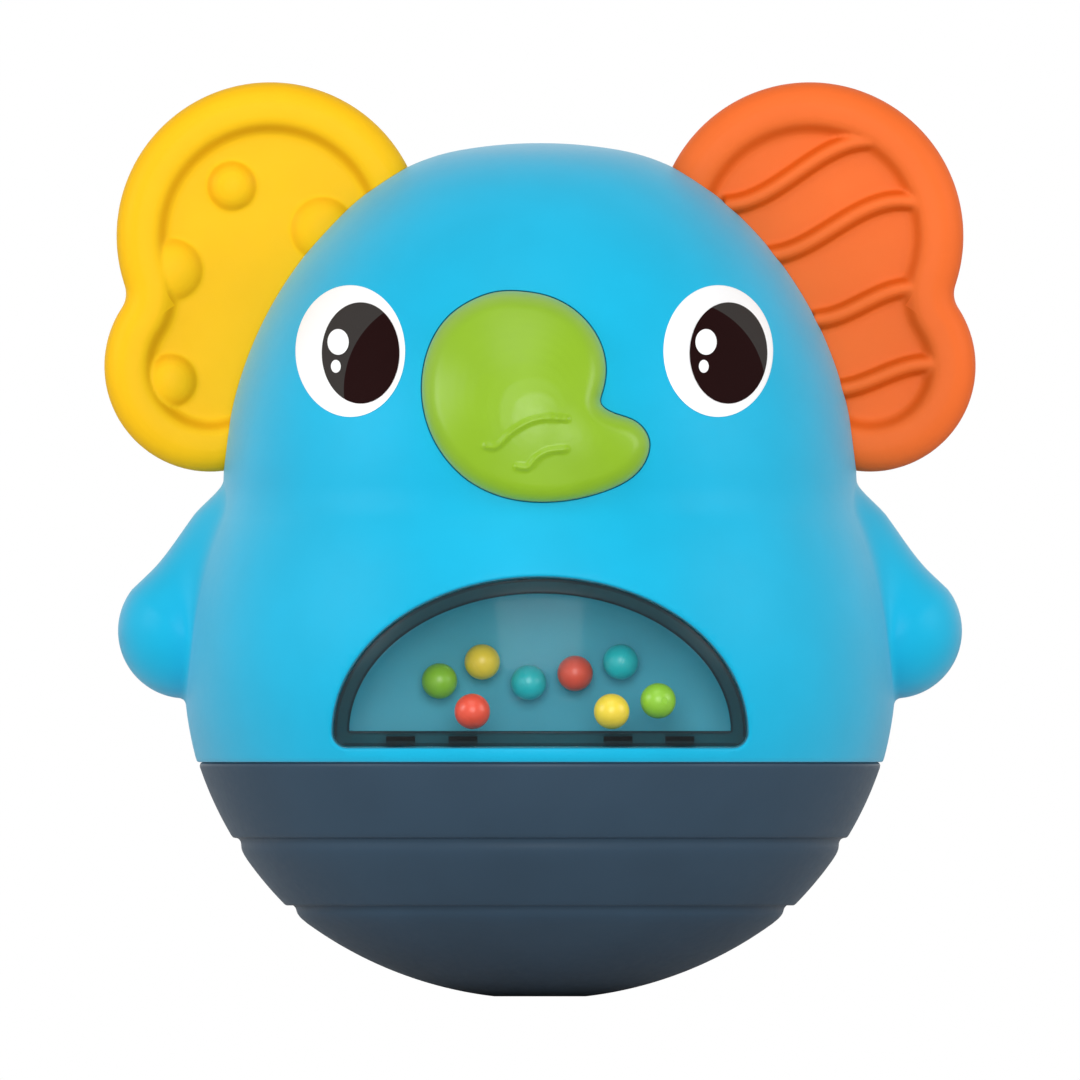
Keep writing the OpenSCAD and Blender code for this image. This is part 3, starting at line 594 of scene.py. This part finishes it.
lower_edge = [(0.02, 0.42), (0.07, 0.25), (0.16, 0.12), (0.3, 0.03)]
outer = [p for p in skin_line(0, seam_z) if p[1] > seam_z + 0.45]
edge_turn = turn_at(belly_c, belly_r, seam_z + 0.01)
outer += [polar(belly_c, belly_r - d, edge_turn - degrees(s / belly_r)) for s, d in reversed(lower_edge)]
inner = skin_line(wall, seam_z + 0.03)
body = lathe("body", outer + inner[::-1], 240)
edit(body)
bpy.ops.mesh.select_all(action="DESELECT")
mesh = bmesh.from_edit_mesh(body.data)
# Finer faces where the arms rise
for f in mesh.faces:
    x, y, z = f.calc_center_median() / mm
    on_arm = abs(x) > 36 and abs(y) < 15 and 36.5 < z < 68
    if on_arm and off_body(Vector((abs(x), y, z))) > -1:
        f.select = True
bpy.ops.mesh.subdivide(number_cuts=3)
bpy.ops.object.mode_set(mode="OBJECT")
raise_arms(body)
edit(body)
for y in (-parting_w, parting_w):
    bpy.ops.mesh.select_all(action="SELECT")
    bpy.ops.mesh.bisect(plane_co=(0, y * mm, 0), plane_no=(0, 1, 0))
mesh = bmesh.from_edit_mesh(body.data)
parting = [v for v in mesh.verts if abs(v.co[1]) < 0.001 * mm and not in_cavity(v.co / mm)]
for v, n in [(v, v.normal.copy()) for v in parting]:
    v.co -= n * parting_d * mm
bmesh.update_edit_mesh(body.data)
bpy.ops.object.mode_set(mode="OBJECT")
long_screws = [(s * x, z) for x, z in (screw_hi, screw_lo) for s in (-1, 1)]
blue = plastic("blue shell", (0.001, 0.43, 0.685), rough=0.42, gloss=0.14, drift=0.04, haze=0.22)
dress(frame["nodes"]["shell_screws"], screw_steel)


def half(name, side):
    """One half of the body, with slots for the ears' tongues."""
    deselect()
    body.select_set(True)
    bpy.context.view_layer.objects.active = body
    bpy.ops.object.duplicate()
    piece = bpy.context.object
    piece.name = piece.data.name = name
    join_by("INTERSECT", piece, block(0, side * 100, 60, 300, 200, 300))
    slot = [size + 2 * gap for size in (tongue_l, tongue_t, tongue_h)]
    join_by("DIFFERENCE", piece, *[block(s * (gap - tongue_x), 0, tongue_z, *slot) for s in (-1, 1)])
    dress(piece, blue)
    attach(piece, "toy")
    return piece


def pillars(piece, places, low, high):
    """Round posts or wells on the inside of a shell, ending in the middle of its wall."""
    core = lathe("core", skin_line(wall / 2, seam_z) + [Vector((0, seam_z))], 96)
    posts = weld(*[rod(x, z, r, low, high, "Y") for x, z, r in places])
    join_by("UNION", piece, join_by("INTERSECT", posts, core))


back = half("back_shell_moulded", 1)
pillars(back, [(x, z, well_wall_r) for x, z in long_screws], post_back, beyond)
join_by("DIFFERENCE", back, *[rod(x, z, well_r, well_floor, beyond, "Y") for x, z in long_screws])
join_by("DIFFERENCE", back, *[rod(x, z, screw_clear_r, -1, well_floor + 1, "Y") for x, z in long_screws])
smooth(back)
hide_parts("back_shell")
front = half("front_shell_moulded", -1)
bpy.data.objects.remove(body)

# ---------------------------------------------------------------------------------------------
# Nose. A domed cap of green plastic that curls to one side, with two raised wrinkles; it sits in a
# shallow pocket of the front shell, and two pegs on its back take screws from inside.
nose_c, nose_half = Vector((-0.55, 78.7)), Vector((15.15, 14.15))
nose_shares = [(-0.1, 0.986), (0.126, 0.94), (0.327, 0.828), (0.485, 0.662), (0.587, 0.461), (0.621, 0.243),
               (0.59, 0.05), (0.56, -0.06), (0.67, -0.145), (0.87, -0.21), (0.985, -0.36), (0.99, -0.52),
               (0.9, -0.7), (0.716, -0.838), (0.427, -0.942), (0.154, -0.985), (-0.1, -0.979),
               (-0.34, -0.923), (-0.56, -0.81), (-0.736, -0.646), (-0.874, -0.443), (-0.963, -0.212),
               (-1, 0.036), (-0.982, 0.289), (-0.908, 0.536), (-0.769, 0.753), (-0.567, 0.902),
               (-0.338, 0.988)]
nose_core = Vector((0.08 * nose_half[0], -0.3 * nose_half[1]))
nose_edge, nose_dome, pocket_d = 2.2, 4.4, 1.2
peg_r, peg_l = 2.5, 2.8


def curve(a, b, c, d, t):
    square, cube = 2 * a - 5 * b + 4 * c - d, 3 * b - a - 3 * c + d
    return (2 * b + (c - a) * t + square * t * t + cube * t ** 3) / 2


knots = [Vector((s[0] * nose_half[0], s[1] * nose_half[1])) for s in nose_shares]
nose_points = [curve(*[knots[(i + j) % len(knots)] for j in range(4)], k / 6)
               for i in range(len(knots)) for k in range(6)]
for _ in range(8):
    nose_points = [(nose_points[i - 1] + 2 * p + nose_points[(i + 1) % len(nose_points)]) / 4
                   for i, p in enumerate(nose_points)]


def nose_inset(d, share=1):
    """The nose's outline moved in by d, then drawn to a share of its size."""
    row, n = [], len(nose_points)
    for i, p in enumerate(nose_points):
        v = nose_points[(i + 1) % n] - nose_points[i - 1]
        row.append(nose_core * (1 - share) + (p + d * Vector((v[1], -v[0])) / v.length) * share)
    return row


def mound(p, x, z, r):
    v = p - Vector((x * nose_half[0], z * nose_half[1]))
    return max(0, 1 - v.dot(v) / (r * nose_half[0]) ** 2) ** 2


def crown(p):
    return (nose_dome - nose_edge) * (mound(p, -0.15, 0.15, 1.15) + 0.3 * mound(p, 0.62, -0.42, 0.5))


def nose_ring(d, share, up):
    row = []
    for p in nose_inset(gap + d, share):
        x, z = nose_c[0] + p[0], nose_c[1] + p[1]
        row.append((x, skin_y(x, z) - gap - up * (1 + crown(p) / nose_edge), z))
    return row


def under_ring(d, share, depth):
    row = [(nose_c[0] + p[0], nose_c[1] + p[1]) for p in nose_inset(d, share)]
    return [(x, skin_y(x, z, depth), z) for x, z in row]


pegs = [nose_c + Vector((-0.5 * nose_half[0], 0.45 * nose_half[1])),
        nose_c + Vector((0.3 * nose_half[0], -0.5 * nose_half[1]))]
spread = (0.1, 0.3, 0.5, 0.7, 0.85, 1)
pocket = loft("pocket", [under_ring(0, s, pocket_d) for s in spread]
              + [under_ring(0, 1, -0.6)] + [[(p[0], -70, p[2]) for p in under_ring(0, 1, 0)]])
join_by("DIFFERENCE", front, pocket)
shares = (0.97, 0.92, 0.85, 0.76, 0.66, 0.55, 0.43, 0.3, 0.17, 0.06)
bend = [t * pi / 16 for t in range(9)]
nose = loft("nose_cap", [under_ring(gap, s, pocket_d - 0.1) for s in spread]
            + [nose_ring(nose_edge * (1 - cos(t)), 1, nose_edge * sin(t)) for t in bend]
            + [nose_ring(nose_edge, s, nose_edge) for s in shares])
seats = [skin_y(p[0], p[1], wall) + peg_l for p in pegs]
for p, seat in zip(pegs, seats):
    weld(nose, rod(p[0], p[1], peg_r, skin_y(p[0], p[1]), seat - 0.1, "Y"))
soften(nose, voxel=0.26, rounds=3)
wrinkle_shares = [
    [(-0.43, -0.46), (-0.34, -0.46), (-0.21, -0.33), (-0.06, -0.235), (0.09, -0.198), (0.265, -0.205)],
    [(-0.16, -0.65), (-0.07, -0.655), (0.01, -0.565), (0.11, -0.507), (0.255, -0.488)]]
wrinkle_w, wrinkle_h = 0.55, 0.42
wrinkles = []
for line in wrinkle_shares:
    k = [Vector((s[0] * nose_half[0], s[1] * nose_half[1])) for s in line]
    k = [2 * k[0] - k[1]] + k + [2 * k[-1] - k[-2]]
    wrinkles.append([curve(*k[i:i + 4], t / 8) for i in range(len(k) - 3) for t in range(9)])
for v in nose.data.vertices:
    p = Vector((v.co[0], v.co[2])) / mm - nose_c
    if v.normal[1] < -0.3:
        off = min((p - q).length for line in wrinkles for q in line)
        v.co[1] -= wrinkle_h * max(0, 1 - (off / wrinkle_w) ** 2) ** 1.5 * mm
join_by("DIFFERENCE", nose, *[rod(p[0], p[1], pilot_r, seat - 5, seat + 2, "Y")
                              for p, seat in zip(pegs, seats)])
smooth(nose, 60)
dress(nose, plastic("green nose", (0.235, 0.43, 0.001), rough=0.33, gloss=0.4, drift=0.04, haze=0.16))
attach(nose, "toy")
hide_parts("nose")
dress(frame["nodes"]["nose_screws"], screw_steel)

# ---------------------------------------------------------------------------------------------
# Window and tray. The lightly smoked clear window is moulded with a skirt that walls in the beads; it is
# put into the front shell from inside, and the tray closes it at the back with four screws.
win_a, win_b, win_z, win_corner = 27.1, 20.3, 32.8, 1.8
win_c = win_z + win_corner
skirt_t, pane_t, flange_w, flange_t, tray_y = 1.75, 1.8, 1.6, 1.4, 27


def window_outline(g):
    """Outline of the window grown by g: a half ellipse on a straight edge with round corners."""
    r = max(win_corner + g, 0.5)
    z = win_z - g + r
    t0 = asin((z - win_c) / (win_b + g))
    x = (win_a + g) * cos(t0) - r
    arch = [t0 + (pi - 2 * t0) * k / 96 for k in range(97)]
    row = [((win_a + g) * cos(t), win_c + (win_b + g) * sin(t)) for t in arch]
    row += [(r * cos(radians(t)) - x, z + r * sin(radians(t))) for t in range(190, 271, 10)]
    row += [(-x + 2 * x * k / 30, z - r) for k in range(1, 30)]
    return row + [(r * cos(radians(t)) + x, z + r * sin(radians(t))) for t in range(270, 351, 10)]


def on_belly(g, d):
    return [(x, skin_y(x, z, d), z) for x, z in window_outline(g)]


def at_depth(g, y):
    return [(x, y, z) for x, z in window_outline(g)]


def drawn(share, d):
    """The inner outline drawn together to a share of its size, on the belly."""
    mid = win_z + 7
    return [(x * share, skin_y(x * share, mid + (z - mid) * share, d), mid + (z - mid) * share)
            for x, z in window_outline(-skirt_t - 0.5)]


draws = (0.02, 0.2, 0.4, 0.6, 0.8, 1)
seat_ring = loft("seat", [drawn(s, wall / 2) for s in draws]
                 + [on_belly(0, wall / 2), on_belly(gap + flange_w, wall / 2),
                    at_depth(gap + flange_w, -tray_y - flange_t)])
join_by("UNION", front, seat_ring)
# The opening's rounded lip as distance out and depth below the skin
lip = [(0, 0.6), (0.05, 0.36), (0.16, 0.17), (0.32, 0.06), (0.5, 0), (0.8, -0.14)]
opening = loft("opening", [at_depth(gap, -20)] + [on_belly(gap + g, d) for g, d in lip]
               + [at_depth(gap + lip[-1][0], -70)])
join_by("DIFFERENCE", front, opening)
pillars(front, [(x, z, front_post_r) for x, z in long_screws], -beyond, -post_back)
join_by("DIFFERENCE", front, *[rod(x, z, front_pilot_r, -front_pilot_l, 1, "Y") for x, z in long_screws],
        *[rod(p[0], p[1], peg_r + 0.1, -beyond, -30, "Y") for p in pegs])
smooth(front)
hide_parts("front_shell")

# A groove along the pane's edge and the rounded rim, as distance in from the rim and depth
pane_rim = [(skirt_t + 0.3, 0), (skirt_t + 0.2, 0.07), (skirt_t + 0.1, 0), (skirt_t - 0.02, 0), (0.45, 0),
            (0.2, 0.04), (0.05, 0.16), (0, 0.4)]
pane_back = -tray_y - 0.04
pane = loft("window_clear", [drawn(s, 0) for s in draws] + [on_belly(-g, d) for g, d in pane_rim]
            + [at_depth(0, -tray_y - flange_t), at_depth(gap + flange_w, -tray_y - flange_t),
               at_depth(gap + flange_w, pane_back), at_depth(-skirt_t, pane_back),
               on_belly(-skirt_t, pane_t + 0.3), on_belly(-skirt_t - 0.3, pane_t)]
            + [drawn(s, pane_t) for s in reversed(draws)])
clip_shares = (-0.675, -0.373, 0.378, 0.677)
clip_w, clip_h, clip_d = 3.8, 0.9, 3
clip_y, clip_z = -tray_y - clip_d / 2 + 0.5, win_z + skirt_t / 2
join_by("DIFFERENCE", pane, *[block(s * win_a, clip_y, clip_z, clip_w + 0.2, clip_d + 1.2, clip_h + 0.2)
                              for s in clip_shares])


def clear(name, colour, alpha, rough, gloss=0.14):
    """See-through plastic: a thin tint over a smooth, faintly scuffed surface."""
    look = plastic(name, colour, rough=rough, gloss=gloss, grain=0.015, drift=0.1)
    look.node_tree.nodes["Principled BSDF"].inputs["Alpha"].default_value = alpha
    return look


def window_clip_shade(do, axis, face):
    """Where the tray's tongues show through the window's lower edge; these patches are painted near-black as the
    shade in the tongues' slots.
    """
    low, high = (win_z + 0.7) * mm, (win_z + 1.65) * mm
    level = do("MULTIPLY", do("GREATER_THAN", axis["Z"], low), do("LESS_THAN", axis["Z"], high))
    beside = 0
    for share in clip_shares:
        off = do("ABSOLUTE", do("SUBTRACT", axis["X"], share * win_a * mm), 0)
        beside = do("ADD", beside, do("LESS_THAN", off, clip_w / 2 * mm))
    return do("MULTIPLY", level, beside)


dress(pane, clear("clear pane", (0.1, 0.16, 0.18), 0.04, 0.1, 1))
pane.data.materials.append(clear("smoked line", (0.01, 0.015, 0.018), 0.85, 0.25))
smoked = clear("smoked skirt", (0.013, 0.032, 0.038), 0.76, 0.25)
# Near-black patches on the skirt's lower edge at the tongues: painted shade of their slots.
pane.data.materials.append(masked(smoked, (0.006, 0.008, 0.009), window_clip_shade))


def growth(x, z):
    """How far the window's outline has to grow, or shrink, to pass through a place."""
    low, high = -win_b + 0.1, 4
    for _ in range(24):
        g = (low + high) / 2
        if (x / (win_a + g)) ** 2 + ((z - win_c) / (win_b + g)) ** 2 > 1:
            low = g
        else:
            high = g
    return max(low, win_z - z)


for f in pane.data.polygons:
    c = f.center / mm
    g = growth(c[0], c[2])
    if c[1] < skin_y(c[0], c[2]) + 0.5 and g > -skirt_t - 0.31:
        f.material_index = 2 if -skirt_t < g < -0.45 else 1
smooth(pane, 40)
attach(pane, "toy")
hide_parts("window")


def tray_clip_shade(do, axis, face):
    """The tongues that stand forward of the tray under the chamber's floor, painted near-black as the shade in the
    slots they sit in.
    """
    forward = do("LESS_THAN", axis["Y"], -(tray_y + 0.2) * mm)
    return do("MULTIPLY", forward, do("LESS_THAN", axis["Z"], (win_z + skirt_t) * mm))


tray_with_clip_shade = plastic("tray", (0.05, 0.42, 0.55), rough=0.5, gloss=0.12, worn=0.12)
dress(frame["nodes"]["tray_screws"], screw_steel)
# The tray's tongues are painted near-black: painted shade of the slots they sit in, not a colour of the tray.
dress(frame["nodes"]["bead_tray"], masked(tray_with_clip_shade, (0.01, 0.012, 0.014), tray_clip_shade))

# ---------------------------------------------------------------------------------------------
# Beads. Eight loose beads of solid-colour plastic, each with a faint mould line round it and a small
# gate mark where it was cut from its runner.
bead_looks = {"green": (0.3, 0.65, 0.026), "yellow": (1, 0.72, 0.04), "red": (0.9, 0.085, 0.035),
              "teal": (0.015, 0.6, 0.62)}
bead_looks = {t: plastic(f"{t} bead", c, rough=0.3, gloss=0.5) for t, c in bead_looks.items()}
line_w, line_share, gate_z, gate_edge, gate_d = 0.06, 0.992, 2.3, 0.05, 0.06
for k, node in enumerate(n for n in frame["nodes"] if n.startswith("bead_") and n != "bead_tray"):
    low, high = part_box(node)
    deselect()
    bpy.ops.mesh.primitive_uv_sphere_add(segments=64, ring_count=32, radius=(high - low)[0] / 2)
    bead = bpy.context.object
    bead.name = bead.data.name = node + "_moulded"
    edit(bead)
    bpy.ops.mesh.select_all(action="DESELECT")
    mesh = bmesh.from_edit_mesh(bead.data)
    for e in mesh.edges:
        e.select = all(abs(v.co[2]) < 0.01 * mm for v in e.verts)
    bpy.ops.mesh.bevel(offset=line_w * mm, segments=2, affect="EDGES")
    bpy.ops.mesh.select_all(action="DESELECT")
    mesh = bmesh.from_edit_mesh(bead.data)
    for v in mesh.verts:
        if abs(v.co[2]) < 0.02 * mm:
            v.co *= line_share
    bmesh.update_edit_mesh(bead.data)
    for f in mesh.faces:
        f.select = f.calc_center_median()[2] > gate_z * mm
    bpy.ops.mesh.inset(thickness=gate_edge * mm)
    bpy.ops.transform.translate(value=(0, 0, -gate_d * mm))
    bpy.ops.object.mode_set(mode="OBJECT")
    bead.rotation_euler = (0.7 + 0.9 * k, 0.5 + 1.3 * k, 0.4 * k)
    bead.location = (low + high) / 2
    deselect()
    bead.select_set(True)
    bpy.context.view_layer.objects.active = bead
    bpy.ops.object.transform_apply(location=True, rotation=True, scale=True)
    smooth(bead, 40)
    tint = node.split("_")[1]
    dress(bead, bead_looks[tint])
    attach(bead, [j["child"] for j in frame["joints"]
                   if node in frame["record"]["behaviour"]["bodies"][j["child"]]][0])
    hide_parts(node)

# ---------------------------------------------------------------------------------------------
# Eyes. Printed on the head in three passes of ink: white ovals, dark pupils with a lighter crescent, and
# two white glints in each.
eye_places = [Vector((-24.9, 84.7)), Vector((23.4, 84.7))]
white_size, pupil_size, pupil_off = (14.4, 17.3), (10.2, 13.3), Vector((1.35, -0.25))
glint_size, spark_size = (2.8, 3.4), (1.3, 1.7)
glint_off, spark_off = Vector((-1.6, 1.2)), Vector((-1.9, -2))
ink_t = 0.12


def print_oval(name, spots, layer):
    """Ovals of ink that follow the head, one layer of ink thick."""
    made = []
    for c, w, h in spots:
        def ring(share, up):
            row = [c + Vector((w * cos(t * pi / 48), h * sin(t * pi / 48))) * share / 2 for t in range(96)]
            return [(p[0], skin_y(p[0], p[1], -up), p[1]) for p in row]
        low, high = layer * ink_t, (layer + 1) * ink_t
        made.append(loft(name, [ring(s, low) for s in (0.05, 0.25, 0.45, 0.65, 0.85, 1)]
                         + [ring(1, high - 0.04), ring(0.995, high - 0.01)]
                         + [ring(s, high) for s in (0.985, 0.85, 0.65, 0.45, 0.25, 0.05)]))
    piece = weld(*made)
    smooth(piece, 50)
    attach(piece, "toy")
    return piece


whites = print_oval("eye_whites_print", [(p, *white_size) for p in eye_places], 0)
dress(whites, plastic("white ink", (0.93, 0.93, 0.93), rough=0.35, grain=0.01, drift=0.015))
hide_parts("eye_whites")
pupils = print_oval("eye_pupils_print", [(p + pupil_off, *pupil_size) for p in eye_places], 1)
dark_ink = plastic("dark ink", (0.014, 0.0037, 0.0037), rough=0.5, gloss=0.02, grain=0.01, drift=0.05)
# Middle and radius of the dark round in each pupil; the crescent outside it is printed grey
rounds = [(-13.44, 79.67, 12.31), (17.86, 79.67, 11.75)]


def on_crescent(do, axis, face):
    def outside(x, z, r):
        dx, dz = do("SUBTRACT", axis["X"], x * mm), do("SUBTRACT", axis["Z"], z * mm)
        return do("GREATER_THAN", do("ADD", do("MULTIPLY", dx, dx), do("MULTIPLY", dz, dz)), (r * mm) ** 2)
    left = do("LESS_THAN", axis["X"], 0)
    right = do("SUBTRACT", 1, left)
    return do("ADD", do("MULTIPLY", left, outside(*rounds[0])), do("MULTIPLY", right, outside(*rounds[1])))


masked(dark_ink, (0.042, 0.037, 0.035), on_crescent)
dress(pupils, dark_ink)
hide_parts("eye_pupils")
glints = print_oval("eye_glints_print", [(p + glint_off, *glint_size) for p in eye_places]
                    + [(p + spark_off, *spark_size) for p in eye_places], 2)
dress(glints, whites.data.materials[0])
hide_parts("eye_glints")

# ---------------------------------------------------------------------------------------------
# Studio. A pale floor, an even white surround, soft lamps above, in front and on each side; the camera
# looks straight at the front of the toy.
deselect()
bpy.ops.mesh.primitive_plane_add(size=4)
floor = bpy.context.object
floor.name = "floor"
dress(floor, plastic("pale floor", (0.8, 0.8, 0.8), rough=0.7, gloss=0.2, drift=0.01))

world = bpy.data.worlds.new("studio")
bpy.context.scene.world = world
world.use_nodes = True
nodes, links = world.node_tree.nodes, world.node_tree.links
fill = nodes["Background"]
fill.inputs["Color"].default_value = (1, 1, 1, 1)
fill.inputs["Strength"].default_value = 0.25
seen = nodes.new("ShaderNodeBackground")
seen.inputs["Color"].default_value = (1, 1, 1, 1)
path = nodes.new("ShaderNodeLightPath")
either = nodes.new("ShaderNodeMath")
either.operation = "MAXIMUM"
links.new(path.outputs["Is Camera Ray"], either.inputs[0])
links.new(path.outputs["Is Glossy Ray"], either.inputs[1])
any_ray = nodes.new("ShaderNodeMath")
any_ray.operation = "MAXIMUM"
links.new(either.outputs[0], any_ray.inputs[0])
links.new(path.outputs["Is Transmission Ray"], any_ray.inputs[1])
both = nodes.new("ShaderNodeMixShader")
links.new(any_ray.outputs[0], both.inputs[0])
links.new(fill.outputs[0], both.inputs[1])
links.new(seen.outputs[0], both.inputs[2])
links.new(both.outputs[0], nodes["World Output"].inputs["Surface"])

for name, spot, size, watts in (("top", (-0.1, -0.5, 0.8), 0.5, 1.5), ("front", (0, -1, 0.26), 0.5, 4.8),
                                ("left", (-0.8, -0.35, 0.35), 0.45, 2.7),
                                ("right", (0.8, -0.35, 0.35), 0.45, 2.4)):
    lamp = bpy.data.lights.new(name, "AREA")
    lamp.size, lamp.energy = size, watts
    holder = bpy.data.objects.new(name, lamp)
    bpy.context.scene.collection.objects.link(holder)
    holder.location = spot
    holder.rotation_euler = (Vector((0, 0, 0.06)) - holder.location).to_track_quat("-Z", "Y").to_euler()

photo_px, px_mm = 1080, 0.13125
view = bpy.data.cameras.new("view")
view.type = "ORTHO"
view.ortho_scale = photo_px * px_mm * mm
eye = bpy.data.objects.new("view", view)
bpy.context.scene.collection.objects.link(eye)
eye.location = (0, -1, 59.9 * mm)
eye.rotation_euler = (radians(90), 0, 0)
bpy.context.scene.camera = eye
bpy.context.scene.view_settings.view_transform = "Standard"
